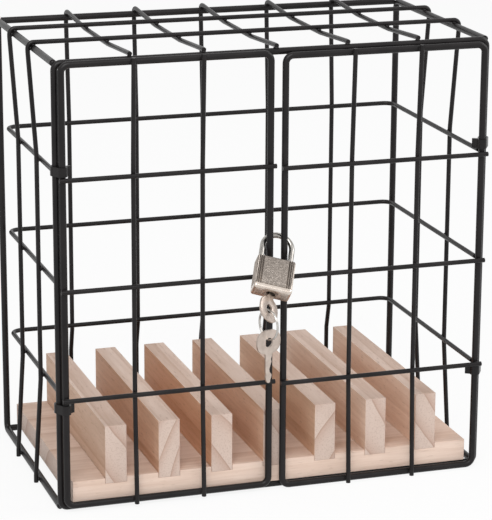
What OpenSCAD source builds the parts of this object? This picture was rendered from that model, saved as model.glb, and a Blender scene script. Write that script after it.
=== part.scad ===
// Phone lock cage: a welded wire cage with two doors, a slotted wooden rack and a padlock.
// Heights count from the centre of the bottom wires, depths from the centre of the front frame.

/* [Cage] */
// Width between the centres of the front posts
frame_w = 236; // [200:1:300]
// Height between the centres of the front frame's top and bottom bars
frame_h = 238; // [200:1:300]
// Depth from the front posts to the rear posts, centre to centre
cage_d = 130; // [110:1:180]
// Diameter of the thick frame wire
frame_wire_d = 3.6; // [3:0.1:4]
// Diameter of the thin grid wire
grid_wire_d = 2.5; // [1.8:0.1:2.8]
// Bend radius of the front frame's corners, on the wire's centre
frame_bend = 3.6; // [2.6:0.1:8]
// Bend radius of the side frames' rear corners
side_bend = 4; // [2.4:0.1:8]
// Bend radius of the belts' rear corners
belt_bend = 6; // [4:0.5:12]
// Depth of the front hoop
front_hoop_y = 44.5; // [36:0.5:54]
// Depth of the rear hoop
rear_hoop_y = 87.5; // [76:0.5:96]
// Number of back wires
back_wires = 5; // [3:1:5]
// Number of belts round the cage
belts = 3; // [1:1:3]
// Reach of a roof wire past the middle of the front bar
roof_tip = 1; // [0.5:0.1:2]

/* [Doors] */
// Gap between the front frame and the doors
door_gap = 0.6; // [0.4:0.1:1.2]
// Distance of the doors' outer uprights inboard of the posts
door_inset = 2.5; // [2:0.1:3]
// Distance between the two inner uprights, centre to centre
meeting_gap = 8; // [7.4:0.1:9]
// How much shorter a door is than the front frame, at each end
door_short = 1; // [1:0.1:3]
// How far the left door sits above the middle, and the right door below it
door_sag = 0.8; // [0:0.1:0.9]
// Bend radius of the doors' corners
door_bend = 4; // [2.4:0.1:10]
// Number of thin uprights in a door
door_uprights = 2; // [1:1:2]
// Length by which a grid wire stands past the wire that carries it
wire_tail = 0.5; // [0.2:0.1:1]

/* [Hinge clips] */
// Height of a clip's strip
clip_h = 5; // [4:0.5:8]
// Thickness of a clip's strip
clip_t = 0.9; // [0.6:0.1:1.2]
// Length of the crimped ear
ear_len = 2.6; // [1.5:0.1:4]
// Radial clearance of a clip on the post
clip_play = 0.08; // [0.05:0.01:0.1]
// Gap between a clip and the belt that it rests on
rest_gap = 0.3; // [0.2:0.05:0.5]

/* [Wooden rack] */
// Gap between the base board's ends and the side frames
board_side_gap = 4.3; // [3:0.1:8]
// Thickness of the base board
board_t = 12; // [9:0.5:18]
// How far the board reaches past the centres of the bars that carry it
board_lip = 1.3; // [0.5:0.1:1.6]
// Number of dividers
dividers = 7; // [2:1:7]
// Distance from the board's ends to the first and last divider
rack_side = 17.8; // [12:0.1:24]
// Thickness of a divider
divider_t = 12; // [6:0.5:14]
// Height of a divider above the board
divider_rise = 29; // [15:1:40]
// Depth of the grooves that hold the dividers
groove_depth = 3; // [2:0.5:6]

/* [Padlock] */
// Width of the padlock's body
lock_w = 20.5; // [20:0.5:23]
// Height of the ribbed body without its end cap
lock_h = 17; // [16.5:0.5:20]
// Thickness of the padlock's body
lock_t = 10; // [9.6:0.2:12]
// Corner radius of the body's plan
lock_corner = 1.4; // [1:0.1:2.4]
// Height of the polished end cap
lock_cap_h = 2.8; // [2.8:0.2:4]
// Width of the plain front panel
lock_panel_w = 13; // [10:0.5:14]
// Number of grooves on each side of the panel
lock_grooves = 3; // [2:1:4]
// Width and depth of a groove
lock_groove_w = 0.4; // [0.3:0.1:0.5]
// Radius of the end cap's rounded rim
cap_round = 1.4; // [0.8:0.1:1.4]
// Diameter of the shackle's wire
shackle_d = 3; // [2.8:0.1:3.2]
// Distance between the shackle's legs, centre to centre
shackle_span = 15.8; // [15.6:0.1:16.4]
// Height inside the closed shackle
shackle_clear = 15; // [15:0.5:18]
// Depth of the heel leg in the body
heel_depth = 12; // [9:0.5:14]
// Depth of the toe leg in the body
toe_depth = 5; // [4:0.5:8]
// How far the shackle pops up when it is released
shackle_lift = 6; // [5.2:0.2:8]
// Radial clearance of the shackle in its bores
shackle_play = 0.08; // [0.05:0.01:0.1]
// Lean of the padlock's lower end away from the doors
lock_lean = 44; // [43:0.5:50]
// Turn of the padlock in its own plane
lock_roll = 20; // [0:1:22]
// Height of the shackle's arc centre above the middle rail
lock_above_rail = 14.6; // [14:0.1:16]
// Gap between the shackle's arc and the back of the uprights
lock_gap = 1.1; // [0.9:0.1:1.5]
// Diameter of the key plug
plug_d = 7; // [6:0.2:7.6]
// Metal between the keyway's end and the plug's end
keyway_floor = 1.2; // [0.8:0.1:2]
// Radial clearance of the plug in the body
plug_play = 0.08; // [0.05:0.01:0.1]

/* [Keys] */
// Thickness of a key
key_t = 1.2; // [1:0.1:1.3]
// Width of a key's blade
blade_w = 4.2; // [3.6:0.1:5]
// Length of a key's blade below the bow
blade_len = 16; // [13:0.5:18]
// Height of a key's bow
bow_h = 13; // [11:0.5:15]
// Width of a key's bow
bow_w = 15; // [12:0.5:17]
// Diameter of the hole in a key's bow
bow_hole_d = 5; // [4.8:0.1:5.4]
// Distance of the hole from a bow's shoulder
bow_hole_drop = 6.2; // [5.4:0.1:6.6]
// Distance of the round's centre under the bow's middle
bow_round_drop = 2.3; // [0:0.1:3]
// Gap between the first key's tip and the end of its keyway
key_tip_gap = 0.3; // [0.2:0.1:1]
// Clearance of a key's blade in the keyway
key_play = 0.15; // [0.1:0.05:0.25]
// Distance of the first key's bow from the end cap
bow_gap = 2.8; // [1:0.1:4]
// Angle of the keyway to the padlock's face
key_turn = 42; // [36:1:50]
// Mean diameter of the split ring
ring_d = 16; // [15:0.5:20]
// Diameter of the split ring's wire
ring_wire_d = 0.9; // [0.7:0.1:1]
// Drop of the ring's top in the first key's hole
ring_drop = 0.5; // [0:0.1:0.7]
// Gap between the ring's wire and the second key's hole edge
spare_gap = 0.4; // [0.3:0.1:0.8]
// Distance of each strand from the ring's middle, in wire radii
strand_pitch = 0.9; // [0.8:0.05:1]
// Heading of the split ring's plane, counted from the cage's depth
ring_heading = 18; // [14:1:22]

/* [Hidden] */
$fn = 32;
// Sides of a swept wire and the largest turn between two of its rings
swept_sides = 12;
swept_turn = 16;
// Overrun of a cut past the face that it opens
over = 1;
fr = frame_wire_d / 2;
gr = grid_wire_d / 2;
// Distance between the centres of a thick and a thin wire that touch
seat = fr + gr;
half_w = frame_w / 2;
cell_x = frame_w / (back_wires + 1);
cell_z = frame_h / (belts + 1);
// Heights between which a hoop or a back wire lies straight against the belts
low_grip_z = frame_h - belts * cell_z - grid_wire_d;
high_grip_z = frame_h - cell_z + grid_wire_d;
door_y = -(frame_wire_d + door_gap);
door_out = half_w - door_inset;
door_in = meeting_gap / 2;
door_w = door_out - door_in;
door_h = frame_h - 2 * door_short;
door_cell_z = door_h / (belts + 1);
rail_y = door_y - seat;
board_z = fr;
board_top = board_z + board_t;
board_w = 2 * (half_w - fr - board_side_gap);
board_d = cage_d + 2 * board_lip;
divider_pitch = (board_w - 2 * rack_side - divider_t) / (dividers - 1);
divider_top = board_top + divider_rise;
lock_r = shackle_d / 2;
arc_r = shackle_span / 2;
// Height of the shackle's arc centre over the body's top face
arc_rise = shackle_clear + lock_r - arc_r;
arc_back = sqrt(arc_r * arc_r - door_in * door_in);
lock_y = door_y + fr + lock_r + lock_gap - arc_back * sin(lock_lean);
middle_rail_z = door_short + door_h / 2;
lock_z = middle_rail_z + lock_above_rail;
lock_full_h = lock_h + lock_cap_h;
// Depth of the keyway from the end cap's face
keyway_depth = blade_len - bow_gap + key_tip_gap;
plug_h = keyway_depth + keyway_floor;
plug_bore_h = plug_h - lock_cap_h + plug_play;
// Distance from the shackle's arc centre down to the first key's hole
hole_down = arc_rise + lock_full_h + bow_gap + bow_hole_drop;
hole_r = bow_hole_d / 2;
ring_r = ring_d / 2;
ring_wire_r = ring_wire_d / 2;
// Centre of the first key's hole, on the padlock's axis
hole_x = -hole_down * sin(lock_roll);
hole_y = lock_y - hole_down * cos(lock_roll) * sin(lock_lean);
hole_z = lock_z - hole_down * cos(lock_roll) * cos(lock_lean);
// Drop of the second key's hole under the ring's lower end
spare_drop = hole_r - ring_wire_r - spare_gap;
front_y = hole_y - ring_r * cos(ring_heading) - ring_wire_r - ring_wire_r * strand_pitch * sin(ring_heading);
back_y = cage_d + seat + gr;
// The origin is under the middle of the whole object, on the plane that it stands on
origin = [0, (front_y + back_y) / 2, -fr];

function unit(v) = v / norm(v);

// Straight wire from a to b
module rod(a, b, r) {
    run = b - a;
    translate(a)
        rotate([0, acos(run.z / norm(run)), atan2(run.y, run.x)])
            cylinder(h = norm(run), r = r);
}

// Round bend at p between the directions from a and to b
module elbow(a, p, b, r, bend) {
    u = unit(p - a);
    v = unit(b - p);
    turn = acos(u * v);
    centre = p + unit(v - u) * bend / cos(turn / 2);
    ex = unit(p - u * bend * tan(turn / 2) - centre);
    ez = cross(ex, u);
    multmatrix([[ex.x, u.x, ez.x, centre.x], [ex.y, u.y, ez.y, centre.y], [ex.z, u.z, ez.z, centre.z]])
        rotate_extrude(angle = turn)
            translate([bend, 0])
                circle(r = r);
}

// Points and directions along a round bend at p
function bend_steps(a, p, b, bend) =
    let (
        u = unit(p - a),
        v = unit(b - p),
        turn = acos(u * v),
        centre = p + unit(v - u) * bend / cos(turn / 2),
        ex = unit(p - u * bend * tan(turn / 2) - centre),
        steps = ceil(turn / swept_turn)
    )
    [for (k = [0 : steps])
        let (t = turn * k / steps)
        [centre + bend * (ex * cos(t) + u * sin(t)), u * cos(t) - ex * sin(t)]];

// Wire bent along pts in the plane whose normal is n, as one swept tube
module swept_wire(pts, r, bend, n) {
    last = len(pts) - 1;
    path = concat(
        [[pts[0], unit(pts[1] - pts[0])]],
        [for (i = [1 : last - 1]) each bend_steps(pts[i - 1], pts[i], pts[i + 1], bend)],
        [[pts[last], unit(pts[last] - pts[last - 1])]]
    );
    rings = len(path);
    corners = [for (step = path, k = [0 : swept_sides - 1])
        step[0] + r * (n * cos(360 * k / swept_sides) + cross(step[1], n) * sin(360 * k / swept_sides))];
    walls = [for (i = [0 : rings - 2], k = [0 : swept_sides - 1])
        let (k2 = (k + 1) % swept_sides)
        each [
            [i * swept_sides + k, (i + 1) * swept_sides + k, (i + 1) * swept_sides + k2],
            [i * swept_sides + k, (i + 1) * swept_sides + k2, i * swept_sides + k2]
        ]];
    caps = [
        [for (k = [0 : swept_sides - 1]) k],
        [for (k = [0 : swept_sides - 1]) rings * swept_sides - 1 - k]
    ];
    polyhedron(points = corners, faces = concat(walls, caps), convexity = 6);
}

function bend_trim(a, p, b, bend) = bend * tan(acos(unit(p - a) * unit(b - p)) / 2);

// Wire bent along pts, open or closed
module bent_wire(pts, r, bend, closed = false) {
    n = len(pts);
    last = closed ? n - 1 : n - 2;
    for (i = [0 : last]) {
        a = pts[i];
        b = pts[(i + 1) % n];
        d = unit(b - a);
        start = (closed || i > 0) ? bend_trim(pts[(i + n - 1) % n], a, b, bend) : 0;
        end = (closed || i < n - 2) ? bend_trim(a, b, pts[(i + 2) % n], bend) : 0;
        rod(a + d * start, b - d * end, r);
        if (closed || i < n - 2)
            elbow(a, b, pts[(i + 2) % n], r, bend);
    }
}

// Moves a piece from the front frame's centre to the object's origin
module placed() {
    translate(-origin) children();
}

module black() {
    color([0.06, 0.06, 0.065]) placed() children();
}

module silver() {
    color([0.72, 0.73, 0.75]) placed() children();
}

// Closed loop of thick wire on the front
module front_frame() {
    black()
        bent_wire([
            [-half_w, 0, 0], [half_w, 0, 0], [half_w, 0, frame_h], [-half_w, 0, frame_h]
        ], fr, frame_bend, closed = true);
}

// Bracket of thick wire, butted on the back of the front frame
module side_frame(side) {
    x = side * half_w;
    black()
        bent_wire([[x, fr, 0], [x, cage_d, 0], [x, cage_d, frame_h], [x, fr, frame_h]], fr, side_bend);
}

// Straight bar between the rear bends
module back_bar(z) {
    black()
        rod([-half_w + fr, cage_d, z], [half_w - fr, cage_d, z], fr);
}

// Thin hoop that leans in from the side bars, which it passes outside, to the belts
module hoop(y) {
    out = half_w + seat;
    in = half_w - fr + gr;
    top = frame_h + seat;
    black()
        swept_wire([
            [-out, y, -fr], [-out, y, fr], [-in, y, low_grip_z], [-in, y, high_grip_z],
            [-out, y, frame_h - fr], [-out, y, top], [out, y, top], [out, y, frame_h - fr],
            [in, y, high_grip_z], [in, y, low_grip_z], [out, y, fr], [out, y, -fr]
        ], gr, seat, [0, 1, 0]);
}

// Thin wire up the back and over the roof, outside the rack and inside the grid over it
module back_wire(i) {
    x = -half_w + i * cell_x;
    out = cage_d + seat;
    in = cage_d - fr + gr;
    top = frame_h + seat;
    low = frame_h + fr - gr;
    if (i <= back_wires)
        black() swept_wire([
            [x, out, -fr], [x, out, divider_top], [x, in, low_grip_z],
            [x, in, high_grip_z], [x, out, frame_h - fr], [x, out, top],
            [x, cage_d - fr, top], [x, rear_hoop_y + grid_wire_d, low],
            [x, front_hoop_y - grid_wire_d, low], [x, fr, top], [x, -roof_tip, top]
        ], gr, seat, [1, 0, 0]);
}

// Thin belt round the inside of the posts
module belt(i) {
    x = half_w - seat;
    y = cage_d - seat;
    z = frame_h - i * cell_z;
    if (i <= belts)
        black() bent_wire([[-x, -gr, z], [-x, y, z], [x, y, z], [x, -gr, z]], gr, belt_bend);
}

function divider_x(i) = (i - (dividers + 1) / 2) * divider_pitch;

module base_board() {
    color([0.80, 0.68, 0.54])
        placed() difference() {
            translate([-board_w / 2, -board_lip, board_z]) cube([board_w, board_d, board_t]);
            for (i = [1 : dividers]) {
                translate([divider_x(i) - divider_t / 2, -board_lip - over, board_top - groove_depth])
                    cube([divider_t, board_d + 2 * over, groove_depth + over]);
            }
        }
}

module divider(i) {
    if (i <= dividers)
        color([0.84, 0.74, 0.68]) placed()
            translate([divider_x(i) - divider_t / 2, -board_lip, board_top - groove_depth])
                cube([divider_t, board_d, groove_depth + divider_rise]);
}

function door_z(side) = door_short - side * door_sag;
function rail_z(side, i) = door_z(side) + door_h - i * door_cell_z;

// Rounded loop of thick wire; side is -1 for the left door and 1 for the right
module door_loop(side) {
    low = door_z(side);
    high = low + door_h;
    black()
        bent_wire([
            [side * door_in, door_y, low], [side * door_out, door_y, low],
            [side * door_out, door_y, high], [side * door_in, door_y, high]
        ], fr, door_bend, closed = true);
}

// Thin upright, over the front of the loop at its ends and leaning in behind the rails
module door_upright(side, i) {
    x = side * (door_out - i * door_w / (door_uprights + 1));
    low = door_z(side);
    high = low + door_h;
    tail = fr + wire_tail;
    behind = rail_y + grid_wire_d;
    if (i <= door_uprights)
        black() swept_wire([
            [x, rail_y, low - fr], [x, rail_y, low + fr],
            [x, behind, rail_z(side, belts) - grid_wire_d], [x, behind, rail_z(side, 1) + grid_wire_d],
            [x, rail_y, high - fr], [x, rail_y, high + tail]
        ], gr, seat, [1, 0, 0]);
}

module door_rail(side, i) {
    tail = fr + wire_tail;
    z = rail_z(side, i);
    if (i <= belts)
        black() rod([side * (door_out + tail), rail_y, z], [side * (door_in - tail), rail_y, z], gr);
}

// Slot outline round the post and the door's upright
module clip_outline(post_r, upright_r) {
    reach = norm([door_inset, door_y]);
    circle(r = post_r);
    translate([reach, 0]) circle(r = upright_r);
    translate([0, -upright_r]) square([reach, 2 * upright_r]);
}

// Flat strip bent round the post and crimped on the door's upright
module clip(side, z) {
    heading = atan2(door_y, door_inset);
    reach = norm([door_inset, door_y]);
    black()
        translate([side * half_w, 0, z])
            mirror([side > 0 ? 1 : 0, 0, 0])
                rotate([0, 0, heading])
                    linear_extrude(height = clip_h)
                        difference() {
                            union() {
                                clip_outline(fr + clip_play + clip_t, fr + clip_t);
                                translate([reach - clip_t, fr])
                                    square([2 * clip_t, ear_len + clip_t]);
                            }
                            clip_outline(fr + clip_play, fr);
                        }
}

// Upper clips stand on the first belt and over the first rail, lower clips hang under the last ones
function upper_clip_z(side) = max(frame_h - cell_z, rail_z(side, 1)) + gr + rest_gap;
function lower_clip_z(side) = min(frame_h - belts * cell_z, rail_z(side, belts)) - gr - rest_gap - clip_h;

// Frame of the padlock: origin at the shackle's arc centre, +Z up its axis, +Y to its back
module lock_frame() {
    translate([0, lock_y, lock_z])
        rotate([-lock_lean, 0, 0])
            rotate([0, lock_roll, 0])
                children();
}

module lock_plan(w, t, corner) {
    square([w - 2 * corner, t], center = true);
    square([w, t - 2 * corner], center = true);
    for (sx = [-1, 1], sy = [-1, 1])
        translate([sx * (w / 2 - corner), sy * (t / 2 - corner)]) circle(r = corner);
}

// Body with fine grooves down both sides of a plain panel, and its bores
module padlock_body() {
    groove_pitch = (lock_w / 2 - lock_corner - lock_panel_w / 2) / lock_grooves;
    heel_x = -arc_r;
    silver()
        lock_frame()
            translate([0, 0, -arc_rise - lock_h])
                difference() {
                    linear_extrude(height = lock_h)
                        difference() {
                            lock_plan(lock_w, lock_t, lock_corner);
                            for (side = [-1, 1], face = [-1, 1], i = [0 : lock_grooves])
                                translate([side * (lock_panel_w / 2 + i * groove_pitch), face * lock_t / 2])
                                    square(lock_groove_w, center = true);
                        }
                    translate([heel_x, 0, lock_h - heel_depth - shackle_play])
                        cylinder(h = heel_depth + shackle_play + over, r = lock_r + shackle_play);
                    translate([-heel_x, 0, lock_h - toe_depth - shackle_play])
                        cylinder(h = toe_depth + shackle_play + over, r = lock_r + shackle_play);
                    translate([0, 0, -over]) cylinder(h = over + plug_bore_h, r = plug_d / 2 + plug_play);
                }
}

// Polished end cap with rounded rim, open for the plug
module padlock_cap() {
    flat_w = lock_w - 2 * cap_round;
    flat_t = lock_t - 2 * cap_round;
    silver()
        lock_frame()
            translate([0, 0, -arc_rise - lock_full_h])
                difference() {
                    union() {
                        translate([0, 0, cap_round])
                            linear_extrude(height = lock_cap_h - cap_round) lock_plan(lock_w, lock_t, lock_corner);
                        linear_extrude(height = cap_round)
                            square([flat_w, flat_t], center = true);
                        for (s = [-1, 1]) {
                            translate([0, s * flat_t / 2, cap_round])
                                rotate([0, 90, 0])
                                    cylinder(h = flat_w, r = cap_round, center = true);
                            translate([s * flat_w / 2, 0, cap_round])
                                rotate([90, 0, 0])
                                    cylinder(h = flat_t, r = cap_round, center = true);
                            for (q = [-1, 1])
                                translate([s * flat_w / 2, q * flat_t / 2, cap_round])
                                    sphere(r = cap_round);
                        }
                    }
                    translate([0, 0, -over]) cylinder(h = lock_cap_h + 2 * over, r = plug_d / 2 + plug_play);
                }
}

// Shackle closed round both inner uprights; its heel leg is the long one
module padlock_shackle() {
    silver()
        lock_frame() {
            rotate([90, 0, 0])
                rotate_extrude(angle = 180)
                    translate([arc_r, 0])
                        circle(r = lock_r);
            rod([-arc_r, 0, -arc_rise - heel_depth], [-arc_r, 0, 0], lock_r);
            rod([arc_r, 0, -arc_rise - toe_depth], [arc_r, 0, 0], lock_r);
        }
}

// Slot for a key's blade, open at the end cap
module keyway() {
    w = blade_w + 2 * key_play;
    t = key_t + 2 * key_play;
    translate([-w / 2, -t / 2, -over]) cube([w, t, keyway_depth + over]);
}

// Turning plug with its keyway
module padlock_plug() {
    color([0.55, 0.5, 0.36])
        placed() lock_frame()
            translate([0, 0, -arc_rise - lock_full_h])
                rotate([0, 0, key_turn])
                    difference() {
                        cylinder(h = plug_h, r = plug_d / 2);
                        keyway();
                    }
}

// Flat key, its hole at the origin, its blade along +Z and its bow below
module key_plate() {
    rotate([90, 0, 0])
        translate([0, 0, -key_t / 2])
            linear_extrude(height = key_t)
                difference() {
                    union() {
                        translate([0, bow_hole_drop - bow_h / 2])
                            intersection() {
                                translate([0, -bow_round_drop]) circle(d = bow_w);
                                square([bow_w, bow_h], center = true);
                            }
                        translate([-blade_w / 2, bow_hole_drop - blade_w / 2]) square([blade_w, blade_len]);
                        translate([0, bow_hole_drop + blade_len - blade_w / 2]) circle(d = blade_w);
                    }
                    circle(d = bow_hole_d);
                }
}

// First key, in the keyway
module key_1() {
    silver()
        lock_frame()
            translate([0, 0, -hole_down])
                rotate([0, 0, key_turn])
                    key_plate();
}

// Frame of the ring: origin at the first key's hole, +X across the ring's plane
module ring_frame() {
    translate([hole_x, hole_y, hole_z])
        rotate([0, 0, ring_heading])
            children();
}

// Split ring of two turns lying side by side, hung in the first key's hole
module key_ring() {
    silver()
        ring_frame()
            translate([0, 0, -ring_drop - ring_r])
                rotate([0, 90, 0])
                    rotate_extrude()
                        for (strand = [-1, 1])
                            translate([ring_r, strand * ring_wire_r * strand_pitch]) circle(r = ring_wire_r);
}

// Second key, hung on the ring's lower end
module key_2() {
    silver()
        ring_frame()
            translate([0, 0, -ring_drop - ring_d - spare_drop])
                rotate([0, 180, 0])
                    key_plate();
}

front_frame();
side_frame(-1);  // left_side_frame
side_frame(1);  // right_side_frame
back_bar(frame_h);  // back_top_bar
back_bar(0);  // back_bottom_bar
hoop(front_hoop_y);  // front_hoop
hoop(rear_hoop_y);  // rear_hoop
back_wire(1);  // back_wire_1
back_wire(2);  // back_wire_2
back_wire(3);  // back_wire_3
back_wire(4);  // back_wire_4
back_wire(5);  // back_wire_5
belt(1);  // belt_1
belt(2);  // belt_2
belt(3);  // belt_3
base_board();
divider(1);  // divider_1
divider(2);  // divider_2
divider(3);  // divider_3
divider(4);  // divider_4
divider(5);  // divider_5
divider(6);  // divider_6
divider(7);  // divider_7
door_loop(-1);  // left_door_loop
door_upright(-1, 1);  // left_door_upright_1
door_upright(-1, 2);  // left_door_upright_2
door_rail(-1, 1);  // left_door_rail_1
door_rail(-1, 2);  // left_door_rail_2
door_rail(-1, 3);  // left_door_rail_3
clip(-1, upper_clip_z(-1));  // left_upper_clip
clip(-1, lower_clip_z(-1));  // left_lower_clip
door_loop(1);  // right_door_loop
door_upright(1, 1);  // right_door_upright_1
door_upright(1, 2);  // right_door_upright_2
door_rail(1, 1);  // right_door_rail_1
door_rail(1, 2);  // right_door_rail_2
door_rail(1, 3);  // right_door_rail_3
clip(1, upper_clip_z(1));  // right_upper_clip
clip(1, lower_clip_z(1));  // right_lower_clip
padlock_body();
padlock_cap();
padlock_shackle();
padlock_plug();
key_1();
key_ring();
key_2();
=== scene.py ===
import math

import bmesh
import bpy
from mathutils import Matrix, Vector


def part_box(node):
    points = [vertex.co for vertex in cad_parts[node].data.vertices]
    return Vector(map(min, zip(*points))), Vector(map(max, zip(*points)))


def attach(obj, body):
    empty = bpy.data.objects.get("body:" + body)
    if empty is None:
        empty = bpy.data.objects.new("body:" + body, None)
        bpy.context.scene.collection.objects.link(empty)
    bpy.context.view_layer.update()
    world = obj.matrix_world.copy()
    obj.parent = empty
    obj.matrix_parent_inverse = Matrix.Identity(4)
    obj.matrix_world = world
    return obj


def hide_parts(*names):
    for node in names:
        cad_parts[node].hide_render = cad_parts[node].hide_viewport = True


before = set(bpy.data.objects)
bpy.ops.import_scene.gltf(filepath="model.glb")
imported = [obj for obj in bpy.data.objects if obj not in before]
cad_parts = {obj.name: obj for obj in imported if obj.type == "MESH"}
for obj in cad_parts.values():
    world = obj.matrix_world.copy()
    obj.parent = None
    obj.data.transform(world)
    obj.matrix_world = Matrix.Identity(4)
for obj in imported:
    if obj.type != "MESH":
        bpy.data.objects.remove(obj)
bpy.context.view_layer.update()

# The cage's own measure: millimetres from the middle of the front frame's bottom wire.
# The front frame is bent from one length of thick wire and welded into a loop.
THICK = 3.6 / 2
THIN = 2.5 / 2
SEAT = THICK + THIN
HALF_WIDTH = 118.0
HEIGHT = 238.0
DEPTH = 130.0
front_low, front_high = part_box("front_frame")
POST_Y = (front_low.y + front_high.y) / 2
FOOT_Z = front_low.z + THICK / 1000


def at(x, y, z):
    """A point of the cage, from millimetres to the frame's metres."""
    return Vector((x / 1000, POST_Y + y / 1000, FOOT_Z + z / 1000))


# The viewer stands to the left of the cage and looks slightly down on it.
# The lens is long, so the uprights stay almost parallel.
EYE = at(-395.1, -1157.8, 467.1)
YAW, PITCH, ROLL = map(math.radians, (18.138, 15.587, 0.285))
FOCAL_PX = 2398.5
IMAGE_W = 492
SENSOR = 36.0
FAR_END = 20.0


def put(name, data):
    """Sets an object into the scene."""
    item = bpy.data.objects.new(name, data)
    bpy.context.scene.collection.objects.link(item)
    return item


camera = put("camera", bpy.data.cameras.new("camera"))
camera.data.sensor_fit = "HORIZONTAL"
camera.data.sensor_width = SENSOR
camera.data.lens = SENSOR * FOCAL_PX / IMAGE_W
camera.data.clip_end = FAR_END
ahead = Vector((math.sin(YAW) * math.cos(PITCH), math.cos(YAW) * math.cos(PITCH), -math.sin(PITCH)))
level = Vector((math.cos(YAW), -math.sin(YAW), 0))
upward = level.cross(ahead)
right = level * math.cos(ROLL) + upward * math.sin(ROLL)
top = upward * math.cos(ROLL) - level * math.sin(ROLL)
camera.matrix_world = Matrix.Translation(EYE) @ Matrix((right, top, -ahead)).transposed().to_4x4()
bpy.context.scene.camera = camera
bpy.context.scene.view_settings.view_transform = "Standard"


# Finishes are painted with small sums of noise. Flow is one number or colour on its way
# through a material, and Finish is a material with one main shader.
class Flow:
    def __init__(self, finish, socket):
        self.finish = finish
        self.socket = socket

    def reckon(self, operation, *values):
        return self.finish.node("ShaderNodeMath", {"operation": operation}, dict(enumerate(values)))

    def __add__(self, other):
        return self.reckon("ADD", self, other)

    def __sub__(self, other):
        return self.reckon("SUBTRACT", self, other)

    def __rsub__(self, other):
        return self.reckon("SUBTRACT", other, self)

    def __mul__(self, other):
        return self.reckon("MULTIPLY", self, other)

    def __truediv__(self, other):
        return self.reckon("DIVIDE", self, other)

    def __pow__(self, other):
        return self.reckon("POWER", self, other)

    def fraction(self):
        return self.reckon("FRACT", self)

    def size(self):
        return self.reckon("ABSOLUTE", self)

    __radd__ = __add__
    __rmul__ = __mul__


class Finish:
    def __init__(self, name, **even):
        self.material = bpy.data.materials.new(name)
        self.material.use_nodes = True
        self.tree = self.material.node_tree
        self.shader = self.tree.nodes["Principled BSDF"]
        for socket, value in even.items():
            self.shader.inputs[socket.replace("_", " ")].default_value = value

    def connect(self, value, socket):
        if isinstance(value, Flow):
            self.tree.links.new(value.socket, socket)
        else:
            socket.default_value = value

    def node(self, kind, settings, inputs, output=0):
        node = self.tree.nodes.new(kind)
        for key, value in settings.items():
            if key == "stops":
                ramp = node.color_ramp
                for place, (position, colour) in enumerate(value):
                    stop = ramp.elements[place] if place < 2 else ramp.elements.new(position)
                    stop.position = position
                    stop.color = (*colour, 1)
            else:
                setattr(node, key, value)
        for key, value in inputs.items():
            self.connect(value, node.inputs[key])
        return Flow(self, node.outputs[output])

    def place(self):
        return self.node("ShaderNodeTexCoord", {}, {}, "Object")

    def stretched(self, scale, turn=(0, 0, 0), shift=(0, 0, 0)):
        return self.node("ShaderNodeMapping", {}, {
            "Vector": self.place(), "Scale": scale, "Rotation": turn, "Location": shift})

    def axes(self, where):
        split = self.node("ShaderNodeSeparateXYZ", {}, {0: where}).socket.node
        return [Flow(self, along) for along in split.outputs]

    def noise(self, where, scale, detail=2.0, roughness=0.5):
        return self.node("ShaderNodeTexNoise", {}, {
            "Vector": where, "Scale": scale, "Detail": detail, "Roughness": roughness})

    def ramp(self, amount, *stops):
        return self.node("ShaderNodeValToRGB", {"stops": stops}, {"Fac": amount})

    def mix(self, amount, first, second):
        first, second = (c if isinstance(c, Flow) else (*c, 1) for c in (first, second))
        return self.node("ShaderNodeMix", {"data_type": "RGBA"}, {0: amount, 6: first, 7: second}, 2)

    def span(self, amount, low, high, out_low=0.0, out_high=1.0):
        return self.node("ShaderNodeMapRange", {}, {
            "Value": amount, "From Min": low, "From Max": high, "To Min": out_low, "To Max": out_high})

    def relief(self, height, distance, strength=1.0):
        return self.node("ShaderNodeBump", {}, {
            "Height": height, "Distance": distance, "Strength": strength})

    def wear(self, **sockets):
        for socket, flow in sockets.items():
            self.connect(flow, self.shader.inputs[socket.replace("_", " ")])
        return self.material


# A plain pale floor under a white room, with one broad soft light over the front and a weak
# one from the side. None of this is part of the cage.
FLOOR_REACH = 6
FLOOR_WHITE = 0.82
FLOOR_MOTTLE = 0.01
FLOOR_GLOW = 0.88
floor_mesh = bpy.data.meshes.new("floor")
floor_mesh.from_pydata([(FLOOR_REACH * x, FLOOR_REACH * y, 0) for x, y in (
    (-1, -1), (1, -1), (1, 1), (-1, 1))], [], [(0, 1, 2, 3)])
floor = put("floor", floor_mesh)
floor_finish = Finish("floor_white", Roughness=0.9)
floor_seen = floor_finish.node("ShaderNodeLightPath", {}, {}, "Is Camera Ray")
floor_shone = floor_finish.node("ShaderNodeLightPath", {}, {}, "Is Glossy Ray")
floor_cloud = floor_finish.noise(floor_finish.place(), 3.0)
floor_finish.wear(Base_Color=floor_finish.ramp(
    floor_cloud, (0.0, (FLOOR_WHITE - FLOOR_MOTTLE,) * 3), (1.0, (FLOOR_WHITE + FLOOR_MOTTLE,) * 3)))
floor_glow = floor_finish.node("ShaderNodeEmission", {}, {"Color": (1, 1, 1, 1), "Strength": 1.0})
floor_blend = floor_finish.node("ShaderNodeMixShader", {}, {
    0: floor_seen.reckon("MAXIMUM", floor_seen, floor_shone) * FLOOR_GLOW,
    1: Flow(floor_finish, floor_finish.shader.outputs[0]),
    2: floor_glow})
floor_finish.connect(floor_blend, floor_finish.tree.nodes["Material Output"].inputs["Surface"])
floor.data.materials.append(floor_finish.material)

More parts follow.
